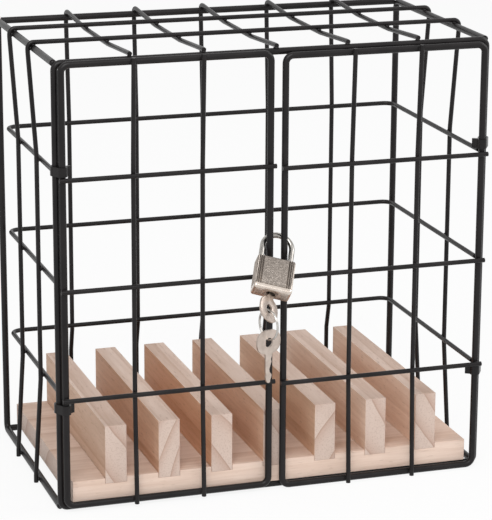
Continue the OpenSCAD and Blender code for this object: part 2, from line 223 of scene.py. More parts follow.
ROOM_LIGHT = 0.62
world = bpy.data.worlds.new("room")
bpy.context.scene.world = world
world.use_nodes = True
room = world.node_tree
seen = room.nodes.new("ShaderNodeLightPath").outputs
shown = seen["Is Camera Ray"]
for ray in ("Is Glossy Ray", "Is Transmission Ray"):
    either = room.nodes.new("ShaderNodeMath")
    either.operation = "MAXIMUM"
    room.links.new(shown, either.inputs[0])
    room.links.new(seen[ray], either.inputs[1])
    shown = either.outputs[0]
strength = room.nodes.new("ShaderNodeMapRange")
strength.inputs["To Min"].default_value = ROOM_LIGHT
strength.inputs["To Max"].default_value = 1.0
room.links.new(shown, strength.inputs["Value"])
room.nodes["Background"].inputs["Color"].default_value = (1, 1, 1, 1)
room.links.new(strength.outputs[0], room.nodes["Background"].inputs["Strength"])
AIM = Vector((0, 0, 0.1))


def soft_light(name, place, width, power):
    lamp = put(name, bpy.data.lights.new(name, "AREA"))
    lamp.data.size = width
    lamp.data.energy = power
    lamp.location = place
    lamp.rotation_euler = (AIM - Vector(place)).to_track_quat("-Z", "Y").to_euler()


soft_light("front_light", (-0.5, -1.3, 1.5), width=1.2, power=22)
soft_light("side_light", (1.5, -0.5, 1.1), width=1.0, power=9)

# The wires are mild steel under a satin black powder coat. The coat is sprayed on after the
# welding, so it runs over every joint and shows a fine orange-peel skin.
COAT_DARK = (0.0056, 0.0046, 0.0049)
COAT_WORN = (0.0150, 0.0126, 0.0128)
coat = Finish("black_powder_coat", Specular_IOR_Level=0.24)
coat_patch = coat.noise(coat.place(), 55.0, 3.0)
coat_peel = coat.noise(coat.place(), 3200.0, 2.0)
black_coat = coat.wear(
    Base_Color=coat.ramp(coat_patch * 0.8 + coat_peel * 0.2, (0.35, COAT_DARK), (0.75, COAT_WORN)),
    Roughness=coat.span(coat_patch, 0.3, 0.7, 0.29, 0.40),
    Normal=coat.relief(coat_peel, 0.00003, 0.3))
CAGE_WIRES = ["front_frame", "left_side_frame", "right_side_frame", "back_top_bar", "back_bottom_bar",
              "belt_1", "belt_2", "belt_3"]
DOOR_WIRES = [f"{side}_{part}" for side in ("left", "right") for part in (
    "door_loop", "door_rail_1", "door_rail_2", "door_rail_3", "upper_clip", "lower_clip")]


def dress(node, material):
    """Gives one of the CAD's own solids a finish."""
    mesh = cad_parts[node].data
    mesh.materials.clear()
    mesh.materials.append(material)


for node in CAGE_WIRES + DOOR_WIRES:
    dress(node, black_coat)


# The thin wires that lean round the thick ones are bent cold, with a small round at each
# bend. The tree rounds a bent line, sweeps the wire's section along it and closes its ends.
def new_tree(name, sizes):
    tree = bpy.data.node_groups.new(name, "GeometryNodeTree")
    tree.interface.new_socket("Geometry", in_out="INPUT", socket_type="NodeSocketGeometry")
    for label, kind in sizes:
        tree.interface.new_socket(label, in_out="INPUT", socket_type="NodeSocket" + kind)
    tree.interface.new_socket("Geometry", in_out="OUTPUT", socket_type="NodeSocketGeometry")
    return tree


def tree_node(tree, kind, settings, inputs):
    node = tree.nodes.new("GeometryNode" + kind if not kind.startswith(("Node", "Function")) else kind)
    for key, value in settings.items():
        setattr(node, key, value)
    for key, value in inputs.items():
        if isinstance(value, bpy.types.NodeSocket):
            tree.links.new(value, node.inputs[key])
        else:
            node.inputs[key].default_value = value
    return node


def close_tree(tree, geometry, material):
    real = tree_node(tree, "RealizeInstances", {}, {"Geometry": geometry})
    smooth = tree_node(tree, "SetShadeSmooth", {}, {"Geometry": real.outputs[0]})
    painted = tree_node(tree, "SetMaterial", {}, {"Geometry": smooth.outputs[0], "Material": material})
    tree_node(tree, "NodeGroupOutput", {}, {0: painted.outputs[0]})


def worked_mesh(item, name):
    """A plain mesh of an object with its modifiers worked in."""
    plain = bpy.data.meshes.new_from_object(item.evaluated_get(bpy.context.evaluated_depsgraph_get()))
    plain.name = name
    return plain


def grow(name, mesh, tree, sizes):
    """Runs a tree with these sizes on a mesh of points or lines, and keeps what it makes."""
    seed = put(name + "_line", mesh)
    modifier = seed.modifiers.new("grow", "NODES")
    modifier.node_group = tree
    for item in tree.interface.items_tree:
        if item.item_type == "SOCKET" and item.in_out == "INPUT" and item.name in sizes:
            modifier[item.identifier] = sizes[item.name]
    plain = worked_mesh(seed, name)
    bpy.data.objects.remove(seed)
    return put(name, plain)


BEND_STEPS = 7
WIRE_SIDES = 20
bent_wire = new_tree("bent_wire", [
    ("Wire radius", "Float"), ("Bend radius", "Float"), ("Bend steps", "Int"), ("Sides", "Int"),
    ("Coat", "Material")])
given = bent_wire.nodes.new("NodeGroupInput").outputs
line = tree_node(bent_wire, "MeshToCurve", {}, {"Mesh": given["Geometry"]})
rounded = tree_node(bent_wire, "FilletCurve", {"mode": "POLY"}, {
    "Curve": line.outputs[0], "Count": given["Bend steps"], "Radius": given["Bend radius"],
    "Limit Radius": True})
section = tree_node(bent_wire, "CurvePrimitiveCircle", {}, {
    "Resolution": given["Sides"], "Radius": given["Wire radius"]})
swept = tree_node(bent_wire, "CurveToMesh", {}, {
    "Curve": rounded.outputs[0], "Profile Curve": section.outputs[0], "Fill Caps": True})
close_tree(bent_wire, swept.outputs[0], given["Coat"])


def bend(name, corners, body, node):
    """A thin coated wire along a row of corners."""
    mesh = bpy.data.meshes.new(name)
    mesh.from_pydata(corners, [(i, i + 1) for i in range(len(corners) - 1)], [])
    piece = grow(name, mesh, bent_wire, {
        "Wire radius": THIN / 1000, "Bend radius": SEAT / 1000, "Bend steps": BEND_STEPS,
        "Sides": WIRE_SIDES, "Coat": black_coat})
    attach(piece, body)
    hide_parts(node)


# Two hoops of thin wire go over the roof and down both sides. Each lies outside the side
# bars, leans in to meet the belts, and is spot welded at every crossing.
LOW_GRIP = HEIGHT / 4 - 2 * THIN
HIGH_GRIP = 3 * HEIGHT / 4 + 2 * THIN
HOOPS = {"front_hoop": 44.5, "rear_hoop": 87.5}
ROOF = HEIGHT + SEAT
OUTSIDE = HALF_WIDTH + SEAT
INSIDE = HALF_WIDTH - THICK + THIN
for node, y in HOOPS.items():
    half = [(OUTSIDE, -THICK), (OUTSIDE, THICK), (INSIDE, LOW_GRIP), (INSIDE, HIGH_GRIP),
            (OUTSIDE, HEIGHT - THICK), (OUTSIDE, ROOF)]
    outline = [(-x, z) for x, z in half] + half[::-1]
    bend(node + "_wire", [at(x, y, z) for x, z in outline], "cage", node)

# Five thin wires come up the back, lean in over the rack to the belts, and run forward over
# the roof, where they dip under both hoops and end over the front bar.
BACK_WIRES = range(1, 6)
BACK_PITCH = 2 * HALF_WIDTH / (len(BACK_WIRES) + 1)
BOARD_T = 12.0
DIVIDER_RISE = 29.0
RACK_TOP = THICK + BOARD_T + DIVIDER_RISE
ROOF_TIP = 1.0
BEHIND = DEPTH + SEAT
WITHIN = DEPTH - THICK + THIN
UNDER = HEIGHT + THICK - THIN
for count in BACK_WIRES:
    x = count * BACK_PITCH - HALF_WIDTH
    outline = [(BEHIND, -THICK), (BEHIND, RACK_TOP), (WITHIN, LOW_GRIP), (WITHIN, HIGH_GRIP),
               (BEHIND, HEIGHT - THICK), (BEHIND, ROOF), (DEPTH - THICK, ROOF),
               (HOOPS["rear_hoop"] + 2 * THIN, UNDER), (HOOPS["front_hoop"] - 2 * THIN, UNDER),
               (THICK, ROOF), (-ROOF_TIP, ROOF)]
    bend(f"back_wire_{count}_bent", [at(x, y, z) for y, z in outline], "cage", f"back_wire_{count}")

# Each door has two thin uprights. They lie over the front of the door's loop at both ends and
# lean in behind the three rails between them.
DOORS = (("left", -1), ("right", 1))
DOOR_GAP = 0.6
DOOR_INSET = 2.5
DOOR_IN = 4.0
DOOR_SHORT = 1.0
DOOR_SAG = 0.8
TAIL_END = 0.5
TAIL = THICK + TAIL_END
DOOR_Y = -(2 * THICK + DOOR_GAP)
DOOR_OUT = HALF_WIDTH - DOOR_INSET
DOOR_TALL = HEIGHT - 2 * DOOR_SHORT
RAIL_Y = DOOR_Y - SEAT


def door_uprights(sign):
    """How far along the front the door's two thin uprights stand."""
    return [sign * (DOOR_OUT - count * (DOOR_OUT - DOOR_IN) / 3) for count in (1, 2)]


for side, sign in DOORS:
    low = DOOR_SHORT - sign * DOOR_SAG
    high = low + DOOR_TALL
    for count, x in enumerate(door_uprights(sign), 1):
        outline = [(RAIL_Y, low - THICK), (RAIL_Y, low + THICK),
                   (RAIL_Y + 2 * THIN, low + DOOR_TALL / 4 - 2 * THIN),
                   (RAIL_Y + 2 * THIN, high - DOOR_TALL / 4 + 2 * THIN),
                   (RAIL_Y, high - THICK), (RAIL_Y, high + TAIL)]
        bend(f"{side}_upright_{count}_bent", [at(x, y, z) for y, z in outline],
             side + "_door", f"{side}_door_upright_{count}")

# Spot welds press the crossing wires together and squeeze a small bead out of each joint.
# The coat runs over the bead. One tree sets a bead at every point, turned to its joint.
BEAD_R, BEAD_T = 1.35, 0.75
BEAD_LEAST, BEAD_MOST = 0.85, 1.15
weld_beads = new_tree("weld_beads", [
    ("Bead radius", "Float"), ("Bead thickness", "Float"), ("Seed", "Int"), ("Coat", "Material")])
given = weld_beads.nodes.new("NodeGroupInput").outputs
drop = tree_node(weld_beads, "MeshIcoSphere", {}, {"Radius": 1.0, "Subdivisions": 2})
joint_line = tree_node(weld_beads, "InputNamedAttribute", {"data_type": "FLOAT_VECTOR"}, {
    "Name": "across"})
turned = tree_node(weld_beads, "FunctionNodeAlignRotationToVector", {"axis": "Z"}, {
    "Vector": joint_line.outputs[0]})
uneven = tree_node(weld_beads, "FunctionNodeRandomValue", {"data_type": "FLOAT"}, {
    2: BEAD_LEAST, 3: BEAD_MOST, "Seed": given["Seed"]})
flat_size = weld_beads.nodes.new("ShaderNodeCombineXYZ")
for axis, label in enumerate(("Bead radius", "Bead radius", "Bead thickness")):
    weld_beads.links.new(given[label], flat_size.inputs[axis])
sized = weld_beads.nodes.new("ShaderNodeVectorMath")
sized.operation = "SCALE"
weld_beads.links.new(flat_size.outputs[0], sized.inputs[0])
weld_beads.links.new(uneven.outputs[1], sized.inputs["Scale"])
beads = tree_node(weld_beads, "InstanceOnPoints", {}, {
    "Points": given["Geometry"], "Instance": drop.outputs[0], "Rotation": turned.outputs[0],
    "Scale": sized.outputs[0]})
close_tree(weld_beads, beads.outputs[0], given["Coat"])


def weld(name, joints, body):
    """Beads at a list of (place, direction from wire to wire)."""
    mesh = bpy.data.meshes.new(name)
    mesh.from_pydata([at(*place) for place, _ in joints], [], [])
    across = mesh.attributes.new("across", "FLOAT_VECTOR", "POINT")
    for item, (_, direction) in zip(across.data, joints):
        item.vector = direction
    piece = grow(name, mesh, weld_beads, {
        "Bead radius": BEAD_R / 1000, "Bead thickness": BEAD_T / 1000, "Seed": len(joints),
        "Coat": black_coat})
    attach(piece, body)


BELT_HEIGHTS = [HEIGHT - count * HEIGHT / 4 for count in (1, 2, 3)]
ACROSS_X, ACROSS_Y, ACROSS_Z = (1, 0, 0), (0, 1, 0), (0, 0, 1)
cage_joints = []
for y in HOOPS.values():
    for sign in (-1, 1):
        cage_joints += [((sign * (HALF_WIDTH + THICK), y, z), ACROSS_X) for z in (0, HEIGHT)]
        cage_joints += [((sign * (HALF_WIDTH - THICK), y, z), ACROSS_X) for z in BELT_HEIGHTS]
        cage_joints.append(((sign * HALF_WIDTH, y, HEIGHT + THICK), ACROSS_Z))
    cage_joints += [((n * BACK_PITCH - HALF_WIDTH, y, HEIGHT + THICK), ACROSS_Z) for n in BACK_WIRES]
for count in BACK_WIRES:
    x = count * BACK_PITCH - HALF_WIDTH
    cage_joints += [((x, DEPTH + THICK, z), ACROSS_Y) for z in (0, HEIGHT)]
    cage_joints += [((x, DEPTH - THICK, z), ACROSS_Y) for z in BELT_HEIGHTS]
    cage_joints += [((x, y, HEIGHT + THICK), ACROSS_Z) for y in (0, DEPTH)]
for z in BELT_HEIGHTS:
    cage_joints += [((sign * (HALF_WIDTH - THICK), 0, z), ACROSS_X) for sign in (-1, 1)]
for sign in (-1, 1):
    cage_joints += [((sign * HALF_WIDTH, THICK, z), ACROSS_Y) for z in (0, HEIGHT)]
    cage_joints += [((sign * (HALF_WIDTH - THICK), DEPTH, z), ACROSS_X) for z in (0, HEIGHT)]
weld("cage_welds", cage_joints, "cage")
for side, sign in DOORS:
    low = DOOR_SHORT - sign * DOOR_SAG
    high = low + DOOR_TALL
    uprights = door_uprights(sign)
    door_joints = []
    for count in (1, 2, 3):
        z = high - count * DOOR_TALL / 4
        door_joints += [((sign * x, DOOR_Y - THICK, z), ACROSS_Y) for x in (DOOR_OUT, DOOR_IN)]
        door_joints += [((x, RAIL_Y + THIN, z), ACROSS_Y) for x in uprights]
    door_joints += [((x, DOOR_Y - THICK, z), ACROSS_Y) for x in uprights for z in (low, high)]
    weld(side + "_door_welds", door_joints, side + "_door")


# The rack is planed pine, fast grown, so its rings are wide. A ring's late wood ends in a
# fine dark line, and shows as slanting bands on the ends and as streaks on the faces.
RING_SWAY = 0.007
LATE_WOOD, RING_EDGE, PORE = (0.76, 0.63, 0.57), (0.50, 0.38, 0.32), (0.66, 0.58, 0.54)
FIBRE, STREAK, RESIN = (0.84, 0.76, 0.71), (0.70, 0.60, 0.53), (0.34, 0.24, 0.18)


def pine(name, grain, heart, ring, tones_and_light, dashes):
    """grain is the axis along the fibres, heart the tree's middle across them, ring its rings'
    width, both in metres, and dashes how strongly the short dark resin streaks show."""
    # Top, flank and end faces get tones of their own. The top and flank tones are lit and shaded copies
    # of the wood's colour, with painted light and shade for how each face is lit; the end tone is the
    # end grain's own darker colour.
    top_tone_and_light, flank_tone_and_light, end_tone = tones_and_light
    across = "Y" if grain == "X" else "X"
    wood = Finish(name, Specular_IOR_Level=0.3)

    def drawn(share):
        return wood.stretched((share, 1, 1) if grain == "X" else (1, share, 1))

    def darker(tone, share):
        return tuple(c * t for c, t in zip(tone, share))

    place = dict(zip("XYZ", wood.axes(wood.place())))
    side = place[across] - heart[0]
    rise = place["Z"] - heart[1]
    sway = wood.noise(drawn(0.10), 26.0, 2.0)
    radius = (side ** 2.0 + rise ** 2.0) ** 0.5 + (sway - 0.5) * RING_SWAY
    band = (radius / ring).fraction()
    late = (wood.span(band, 0.30, 0.97) ** 2.0) * wood.span(band, 1.0, 0.98)
    edge = wood.span(band, 0.925, 0.975) * wood.span(band, 1.0, 0.985)
    fibre = wood.noise(drawn(0.05), 1500.0, 3.0, 0.65)
    streak = wood.noise(drawn(0.05), 420.0, 3.0, 0.6)
    broad = wood.noise(drawn(0.10), 90.0, 2.0)
    dash = wood.span(wood.noise(drawn(0.12), 1400.0, 1.0), 0.65, 0.71)
    pore = wood.span(wood.noise(wood.place(), 1200.0, 2.0, 0.6), 0.52, 0.66)
    cloud = wood.noise(wood.place(), 42.0, 3.0)
    facing = dict(zip("XYZ", wood.axes(wood.node("ShaderNodeTexCoord", {}, {}, "Normal"))))
    ends = wood.span(facing[grain].size(), 0.8, 0.95)
    # Mask of the flanks, the faces that take the flank tone with its painted light and shade.
    flanks = wood.span(facing[across].size(), 0.8, 0.95)
    butt = wood.mix(late * 0.72, end_tone, darker(end_tone, LATE_WOOD))
    butt = wood.mix(edge * 0.34, butt, darker(end_tone, RING_EDGE))
    butt = wood.mix(pore * 0.42, butt, darker(end_tone, PORE))
    tone = wood.mix(ends, wood.mix(flanks, top_tone_and_light, flank_tone_and_light), butt)
    streaks = wood.span(streak, 0.40, 0.68) * 0.36 + wood.span(broad, 0.40, 0.65) * 0.26 + late * 0.42
    figure = wood.mix(wood.span(fibre, 0.35, 0.75) * 0.20 + wood.span(cloud, 0.42, 0.72) * 0.20,
                      (1, 1, 1), FIBRE)
    figure = wood.mix(streaks * (1 - ends), figure, STREAK)
    figure = wood.mix(dash * (1 - ends) * dashes, figure, RESIN)
    return wood.wear(
        Base_Color=wood.node("ShaderNodeMix", {"data_type": "RGBA", "blend_type": "MULTIPLY"},
                             {0: 1.0, 6: tone, 7: figure}, 2),
        Roughness=wood.span(fibre, 0.3, 0.7, 0.55, 0.72),
        Normal=wood.relief(fibre + late * 0.6 - dash * 0.5, 0.00016, 0.5))


# The base board has its fibres across the cage. Seven grooves are sawn through it from front
# to back, which leaves slightly torn, eased edges.
BOARD_GAP = 4.3
BOARD_W = 2 * (HALF_WIDTH - THICK - BOARD_GAP)
BOARD_LIP = 1.3
BOARD_D = DEPTH + 2 * BOARD_LIP
GROOVE = 3.0
DIVIDER_T = 12.0
END_MARGIN = 17.8
SLOTS = 6
DIVIDER_PITCH = (BOARD_W - 2 * END_MARGIN - DIVIDER_T) / SLOTS
BOARD_TOP = THICK + BOARD_T
WOOD_EASE = 0.00022


def solid(name, build, material, round_over=0.0):
    """A closed body filled in by build, with its sharp edges eased by a small round-over."""
    shape = bmesh.new()
    build(shape)
    bmesh.ops.recalc_face_normals(shape, faces=shape.faces)
    mesh = bpy.data.meshes.new(name)
    shape.to_mesh(mesh)
    shape.free()
    rough = put(name + "_rough", mesh)
    if round_over:
        ease = rough.modifiers.new("ease", "BEVEL")
        ease.width = round_over
        ease.segments = 2
        ease.limit_method = "ANGLE"
        ease.harden_normals = False
    plain = worked_mesh(rough, name)
    bpy.data.objects.remove(rough)
    plain.materials.clear()
    plain.materials.append(material)
    return put(name, plain)


def drawn_out(shape, outline, direction):
    """Closes an outline and draws it out along a direction."""
    face = shape.faces.new([shape.verts.new(point) for point in outline])
    far = bmesh.ops.extrude_face_region(shape, geom=[face])
    moved = [item for item in far["geom"] if isinstance(item, bmesh.types.BMVert)]
    bmesh.ops.translate(shape, verts=moved, vec=direction)


def board_shape(shape):
    outline = [(-BOARD_W / 2, THICK), (BOARD_W / 2, THICK), (BOARD_W / 2, BOARD_TOP)]
    for count in range(SLOTS // 2, -SLOTS // 2 - 1, -1):
        x = count * DIVIDER_PITCH
        outline += [(x + DIVIDER_T / 2, BOARD_TOP), (x + DIVIDER_T / 2, BOARD_TOP - GROOVE),
                    (x - DIVIDER_T / 2, BOARD_TOP - GROOVE), (x - DIVIDER_T / 2, BOARD_TOP)]
    outline.append((-BOARD_W / 2, BOARD_TOP))
    drawn_out(shape, [at(x, -BOARD_LIP, z) for x, z in outline], Vector((0, BOARD_D / 1000, 0)))


# The board's top tone is darker and its front and back tone paler, as painted shade and painted light on
# those faces; the end tone is the end grain's own colour.
board_pine = pine("board_pine", "X", (-0.090, -0.090), 0.020, (
    (0.73, 0.57, 0.48), (0.84, 0.67, 0.57), (0.65, 0.52, 0.45)), 0.16)
board = solid("pine_board", board_shape, board_pine, WOOD_EASE)
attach(board, "cage")
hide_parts("base_board")

# Seven dividers of the same pine stand in the grooves, glued, with their fibres running from
# front to back. Each was cut from another part of the plank, so its bands slant its own way.
SAW_GAP = 0.12
RINGS_TO_HEART = 12
# The dividers' top tone is the wood's colour with painted light and shade for how the tops are lit;
# their end tone is the end grain's own colour.
DIVIDER_TOP_TONE_AND_LIGHT, DIVIDER_END_TONE = (0.68, 0.53, 0.45), (0.645, 0.515, 0.445)
# Each row: a point on a ring line in the end, the way to the heart, ring width, and the flank's colour
# with its painted light and shade.
# The flank colours are painted shade and light: darker and warmer on flanks that stand in shade between
# dividers, paler on the open ones.
PLANKS = [
    ((-3.0, 40.7), (0.845, 0.535), 16.4, (0.68, 0.48, 0.36)),
    ((6.0, 28.0), (0.931, -0.364), 8.5, (0.78, 0.52, 0.37)),
    ((-5.6, 25.3), (-0.81, -0.58), 14.8, (0.74, 0.45, 0.29)),
    ((2.0, 30.0), (0.80, 0.60), 15.0, (0.74, 0.50, 0.36)),
    ((5.1, 38.1), (0.78, -0.62), 13.6, (0.76, 0.53, 0.38)),
    ((-1.0, 41.1), (0.93, 0.367), 16.0, (0.88, 0.68, 0.55)),
    ((0.5, 41.2), (0.857, 0.51), 13.3, (0.88, 0.67, 0.54))]
for count, (crossing, toward, ring, flank_tone_and_light) in enumerate(PLANKS, 1):
    middle = (count - 1 - SLOTS / 2) * DIVIDER_PITCH
    heart = at(middle + crossing[0] + toward[0] * ring * RINGS_TO_HEART, 0,
               crossing[1] + toward[1] * ring * RINGS_TO_HEART)

    def divider_shape(shape):
        reach = DIVIDER_T / 2 - SAW_GAP
        low, high = BOARD_TOP - GROOVE, BOARD_TOP + DIVIDER_RISE
        drawn_out(shape, [at(middle + x, -BOARD_LIP, z) for x, z in (
            (-reach, low), (reach, low), (reach, high), (-reach, high))], Vector((0, BOARD_D / 1000, 0)))

    grain = pine(f"divider_pine_{count}", "Y", (heart.x, heart.z), ring / 1000, (
        DIVIDER_TOP_TONE_AND_LIGHT, flank_tone_and_light, DIVIDER_END_TONE), 0.30)
    divider = solid(f"pine_divider_{count}", divider_shape, grain, WOOD_EASE)
    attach(divider, "cage")
    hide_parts(f"divider_{count}")

# The padlock's case is nickel-plated, with a stippled panel front and back and ribs round
# both flanks. It hangs on the inner uprights, its lower end leaning out and rolled to the left.
LOCK_W, LOCK_T, LOCK_H, LOCK_CORNER = 20.5, 10.0, 17.0, 1.4
LEAST_CORNER = 0.3
PANEL_W = 13.0
PANEL_EDGE = 0.05
RIB_COUNT = 15
RIB_DEPTH = 0.45
RIB_FULLNESS = 0.7
TOP_ROUND = 0.9
LOW_EDGE = 0.25
CAP_H = 2.8
SHACKLE_R = 1.5
SHACKLE_HALF = 7.9
SHACKLE_INSIDE = 15.0
ARC_RISE = SHACKLE_INSIDE + SHACKLE_R - SHACKLE_HALF
LOCK_PLACE = (0.0, -4.532, 133.6)
LEAN, TURN = math.radians(44), math.radians(20)
lock_place = (Matrix.Translation(at(*LOCK_PLACE)) @ Matrix.Rotation(-LEAN, 4, "X")
              @ Matrix.Rotation(TURN, 4, "Y"))
to_lock = lock_place.inverted()
case_top = -ARC_RISE
case_low = case_top - LOCK_H


def in_lock(x, y, z):
    return lock_place @ Vector((x / 1000, y / 1000, z / 1000))


def lock_axes(finish):
    """Where a point lies along the padlock's own x, y and z, in millimetres."""
    return finish.axes(finish.stretched((1000, 1000, 1000), to_lock.to_euler("XYZ"),
                                        to_lock.translation * 1000))


FACE_STEPS, CORNER_STEPS, SIDE_STEPS, PANEL_STEPS = 24, 20, 35, 20


def lock_outline(inset, ribs):
    """The case's plan as (x, y, groove depth), drawn in by inset, with ribs round both flanks."""
    half_w, half_t = LOCK_W / 2 - inset, LOCK_T / 2 - inset
    corner = max(LOCK_CORNER - inset, LEAST_CORNER)
    flat_x, flat_y = half_w - corner, half_t - corner
    flank = [(PANEL_W / 2 + step * (flat_x - PANEL_W / 2) / FACE_STEPS, half_t, 0.0, 1.0)
             for step in range(FACE_STEPS)]
    for step in range(CORNER_STEPS):
        turn = math.radians(90 * step / CORNER_STEPS)
        across, out = math.sin(turn), math.cos(turn)
        flank.append((flat_x + corner * across, flat_y + corner * out, across, out))
    flank += [(half_w, flat_y * (1 - step / SIDE_STEPS), 1.0, 0.0) for step in range(SIDE_STEPS + 1)]
    flank += [(x, -y, across, -out) for x, y, across, out in flank[-2::-1]]
    gone, run = 0.0, []
    for (x, y, _, _), before in zip(flank, [flank[0]] + flank):
        gone += math.hypot(x - before[0], y - before[1])
        run.append(gone)
    right_side = []
    for (x, y, across, out), along in zip(flank, run):
        depth = (0.5 - 0.5 * math.cos(2 * math.pi * RIB_COUNT * along / gone)) ** RIB_FULLNESS
        cut = ribs * RIB_DEPTH * depth
        # The third value is the groove depth, kept for the painted shade in the rib grooves; the cut
        # itself moves the point.
        right_side.append((x - across * cut, y - out * cut, ribs * depth))
    panel = [PANEL_W / 2 * (1 - 2 * step / PANEL_STEPS) for step in range(1, PANEL_STEPS)]
    return (right_side + [(x, -half_t, 0.0) for x in panel]
            + [(-x, -y, groove) for x, y, groove in right_side] + [(-x, half_t, 0.0) for x in panel])


def loft(shape, levels):
    """Skins (height, outline) levels into one closed body in the padlock's frame."""
    # Each point keeps its groove depth, which the case's finish uses for painted shade in the rib
    # grooves.
    painted = shape.verts.layers.float.new("groove")
    rings = []
    for z, outline in levels:
        rings.append([shape.verts.new(in_lock(x, y, z)) for x, y, _ in outline])
        for vert, (_, _, groove) in zip(rings[-1], outline):
            vert[painted] = groove
    for low, high in zip(rings, rings[1:]):
        for i in range(len(low)):
            j = (i + 1) % len(low)
            shape.faces.new((low[i], low[j], high[j], high[i]))
    shape.faces.new(rings[0][::-1])
    shape.faces.new(rings[-1])


SLIVER = 0.01


def drill(piece, holes):
    """Cuts holes, each (x, low, high, radius), along the padlock's own axis, with clean rims."""
    for x, low, high, radius in holes:
        tool_shape = bmesh.new()
        bmesh.ops.create_cone(tool_shape, cap_ends=True, segments=48, radius1=radius / 1000,
                              radius2=radius / 1000, depth=(high - low) / 1000)
        bmesh.ops.transform(tool_shape, verts=tool_shape.verts,
                            matrix=lock_place @ Matrix.Translation((x / 1000, 0, (low + high) / 2000)))
        tool_mesh = bpy.data.meshes.new("drill")
        tool_shape.to_mesh(tool_mesh)
        tool_shape.free()
        tool = put("drill", tool_mesh)
        cut = piece.modifiers.new("cut", "BOOLEAN")
        cut.object = tool
        cut.solver = "EXACT"
        drilled = worked_mesh(piece, piece.name)
        piece.modifiers.remove(cut)
        piece.data = drilled
        bpy.data.objects.remove(tool)
    rims = bmesh.new()
    rims.from_mesh(piece.data)
    bmesh.ops.triangulate(rims, faces=rims.faces)
    bmesh.ops.dissolve_degenerate(rims, edges=rims.edges, dist=SLIVER / 1000)
    rims.to_mesh(piece.data)
    rims.free()


def shade(piece, angle):
    """Shades a piece smoothly, apart from edges sharper than the angle in degrees."""
    for face in piece.data.polygons:
        face.use_smooth = True
    piece.data.set_sharp_from_angle(angle=math.radians(angle))


stipple = Finish("padlock_nickel", Metallic=1.0)
in_ribs = stipple.span(lock_axes(stipple)[0].size(), PANEL_W / 2, PANEL_W / 2 + PANEL_EDGE)
groove = stipple.node("ShaderNodeAttribute", {"attribute_name": "groove"}, {}, "Fac")
grit = stipple.node("ShaderNodeTexVoronoi", {}, {"Vector": stipple.place(), "Scale": 1350.0})
haze = stipple.noise(stipple.place(), 300.0, 3.0)
# The stipple's grit also darkens the colour in the pattern of its relief, as painted shade of the
# stippled texture.
stipple_shade = stipple.span(grit, 0.15, 0.5) * (1 - in_ribs)
plated = stipple.mix(stipple.span(haze, 0.35, 0.7) * 0.25 + stipple_shade * 0.65,
                     (0.46, 0.405, 0.36), (0.20, 0.172, 0.15))
# The rib grooves are painted dark by their depth, as painted shade in them.
case_nickel = stipple.wear(
    Base_Color=stipple.mix(stipple.span(groove, 0.25, 0.8) * 0.9, plated, (0.035, 0.03, 0.027)),
    Roughness=stipple.span(haze, 0.3, 0.7, 0.26, 0.4),
    Normal=stipple.relief(grit * (1 - in_ribs), 0.0002, 0.6))
TOP_STEPS = 5
LOW_EDGE_RIBS = 0.6


def case_shape(shape):
    levels = [(case_low, lock_outline(LOW_EDGE, LOW_EDGE_RIBS)),
              (case_low + LOW_EDGE, lock_outline(0, 1)), (case_top - TOP_ROUND, lock_outline(0, 1))]
    for step in range(1, TOP_STEPS + 1):
        angle = math.radians(90 * step / TOP_STEPS)
        levels.append((case_top - TOP_ROUND + TOP_ROUND * math.sin(angle),
                       lock_outline(TOP_ROUND * (1 - math.cos(angle)), math.cos(angle) ** 2)))
    loft(shape, levels)


case = solid("padlock_case", case_shape, case_nickel)
BORE_PLAY, PLUG_PLAY = 0.12, 0.08
PLUG_W = 7.0
BORE_R = SHACKLE_R + BORE_PLAY
PLUG_R = PLUG_W / 2 + PLUG_PLAY
LONG_BORE, SHORT_BORE, PLUG_BORE = 12.0, 5.1, 12.0
PAST = 1.0
drill(case, [(-SHACKLE_HALF, case_top - LONG_BORE, case_top + PAST, BORE_R),
             (SHACKLE_HALF, case_top - SHORT_BORE, case_top + PAST, BORE_R),
             (0, case_low - PAST, case_low + PLUG_BORE, PLUG_R)])
shade(case, 28)
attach(case, "padlock")
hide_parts("padlock_body")

# The end cap is pressed on under the case and polished. Its rim is rounded, and the plug
# shows in its middle.
CAP_ROUND = 1.4
CAP_STEPS = 7
CAP_LIP, CAP_SEAT = 0.3, 0.02
cap_low = case_low - CAP_H


def metal(name, bright, dull, smoothest, roughest, scratches):
    """A plated or polished finish with soft clouds and fine scratches along the piece."""
    plate = Finish(name, Metallic=1.0)
    cloud = plate.noise(plate.place(), 260.0, 3.0)
    scratch = plate.noise(plate.stretched((1, 1, 0.06)), 2600.0, 2.0)
    return plate.wear(
        Base_Color=plate.mix(plate.span(cloud, 0.35, 0.75), bright, dull),
        Roughness=plate.span(cloud * 0.6 + scratch * 0.4, 0.3, 0.7, smoothest, roughest),
        Normal=plate.relief(scratch, 0.00006, scratches))


def cap_shape(shape):
    levels = []
    for step in range(CAP_STEPS, -1, -1):
        angle = math.radians(90 * step / CAP_STEPS)
        levels.append((cap_low + CAP_ROUND * (1 - math.sin(angle)),
                       lock_outline(CAP_ROUND * (1 - math.cos(angle)), 0)))
    levels += [(case_low - CAP_LIP, lock_outline(0, 0)),
               (case_low - CAP_SEAT, lock_outline(LOW_EDGE, 0))]
    loft(shape, levels)


cap_polish = metal("cap_polished_nickel", (0.74, 0.66, 0.59), (0.57, 0.495, 0.43), 0.16, 0.28, 0.12)
cap = solid("padlock_end_cap", cap_shape, cap_polish)
drill(cap, [(0, cap_low - PAST, case_low + PAST, PLUG_R)])
shade(cap, 35)
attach(cap, "padlock")
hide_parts("padlock_cap")

